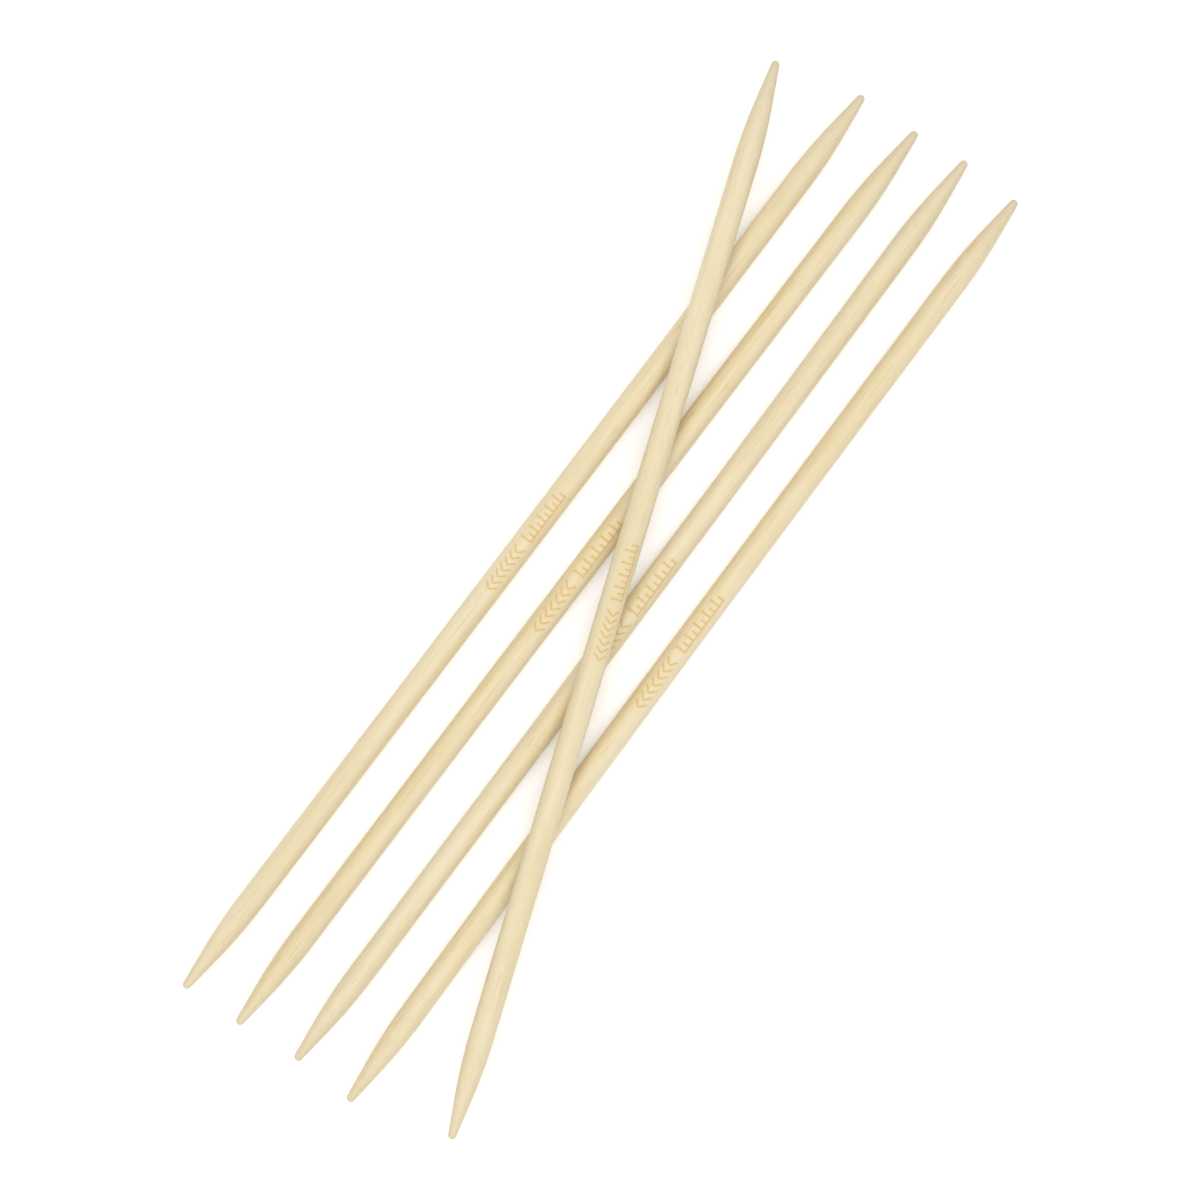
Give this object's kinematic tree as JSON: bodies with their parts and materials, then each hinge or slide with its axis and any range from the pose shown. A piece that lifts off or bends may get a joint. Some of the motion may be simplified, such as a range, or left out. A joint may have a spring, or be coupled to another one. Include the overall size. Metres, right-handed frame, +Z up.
{
  "type": "double-pointed knitting needles",
  "caption": "Slim round bamboo knitting needles, pointed at both ends, lying side by side with the working needle laid slantwise across the top of them.",
  "frame": {"origin": "on the surface that the needles lie on, under the middle of the whole set", "axes": "+Y along needle_3, the third of the needles that lie side by side, +X across them from needle_1 towards needle_4, +Z up"},
  "size_m": [0.069, 0.2016, 0.0093],
  "materials": {
    "bamboo": "satin"
  },
  "bodies": {
    "needle_1": {"needle_1": "bamboo"},
    "needle_2": {"needle_2": "bamboo"},
    "needle_3": {"needle_3": "bamboo"},
    "needle_4": {"needle_4": "bamboo"},
    "working_needle": {"working_needle": "bamboo"}
  },
  "joints": [
    {"name": "needle_1_draw", "type": "slide", "parent": "needle_3", "child": "needle_1", "axis": [0.0096, 1, 0], "range_m": [-0.205, 0.205]},
    {"name": "needle_2_draw", "type": "slide", "parent": "needle_3", "child": "needle_2", "axis": [0.0096, 1, 0], "range_m": [-0.205, 0.205]},
    {"name": "needle_4_draw", "type": "slide", "parent": "needle_3", "child": "needle_4", "axis": [-0.0026, 1, 0], "range_m": [-0.205, 0.205]},
    {"name": "working_needle_lift", "type": "slide", "parent": "needle_3", "child": "working_needle", "axis": [0, 0, 1], "range_m": [0, 0.06]}
  ]
}
